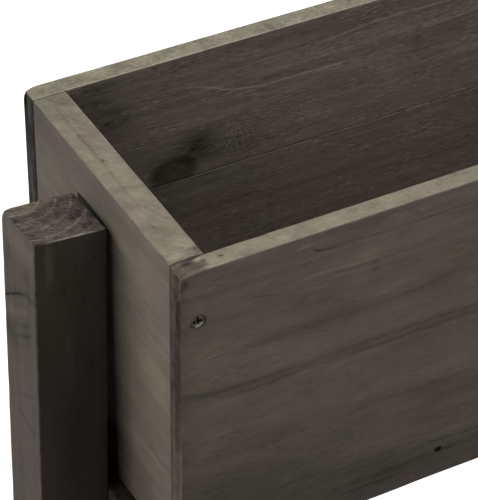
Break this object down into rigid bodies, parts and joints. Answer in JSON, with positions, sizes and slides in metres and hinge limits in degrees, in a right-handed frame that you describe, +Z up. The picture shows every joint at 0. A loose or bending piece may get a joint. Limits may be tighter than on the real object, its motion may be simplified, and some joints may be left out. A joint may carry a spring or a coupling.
{
  "type": "raised garden bed",
  "caption": "Narrow wooden planting trough with a slatted draining floor, carried between single end posts on cross feet joined by a long stretcher.",
  "frame": {"origin": "on the ground, under the middle of the part: the centre of the bottom of its bounding box", "axes": "+X along the trough, -Y towards the front wall, +Z up"},
  "size_m": [1.0082, 0.42, 0.72],
  "materials": {
    "wall_wood": "dark grey-brown stain, weathered, with visible grain",
    "end_wood": "grey-brown stain, weathered, with light rubbed streaks",
    "floor_wood": "dark brown stain, matt",
    "dowel_wood": "raw, unstained",
    "screw_steel": "dulled zinc",
    "post_wood": "grey-brown stain, weathered, rough end grain",
    "beam_wood": "grey-brown stain, matt",
    "bolt_steel": "dulled zinc",
    "pad_rubber": "matt black"
  },
  "bodies": {
    "root": {"front_wall": "wall_wood", "back_wall_upper": "wall_wood", "back_wall_lower": "wall_wood", "end_board_left": "end_wood", "end_board_right": "end_wood", "front_cleat": "floor_wood", "back_cleat": "floor_wood", "floor_slat_1": "floor_wood", "floor_slat_2": "floor_wood", "floor_slat_3": "floor_wood", "floor_slat_4": "floor_wood", "floor_slat_5": "floor_wood", "floor_slat_6": "floor_wood", "floor_slat_7": "floor_wood", "floor_slat_8": "floor_wood", "floor_slat_9": "floor_wood", "floor_slat_10": "floor_wood", "floor_slat_11": "floor_wood", "floor_slat_12": "floor_wood", "seam_dowels": "dowel_wood", "wall_screws": "screw_steel", "cleat_screws": "screw_steel", "slat_screws": "screw_steel", "bearer_screws": "screw_steel", "pad_screws": "screw_steel", "post_left": "post_wood", "post_right": "post_wood", "bearer_left": "beam_wood", "bearer_right": "beam_wood", "foot_left": "beam_wood", "foot_right": "beam_wood", "stretcher": "beam_wood", "bearer_bolts": "bolt_steel", "foot_bolts": "bolt_steel", "frame_washers": "bolt_steel", "frame_nuts": "bolt_steel", "rail_bolts": "bolt_steel", "rail_washers": "bolt_steel", "barrel_nuts": "bolt_steel", "foot_pad_1": "pad_rubber", "foot_pad_2": "pad_rubber", "foot_pad_3": "pad_rubber", "foot_pad_4": "pad_rubber"}
  },
  "joints": []
}
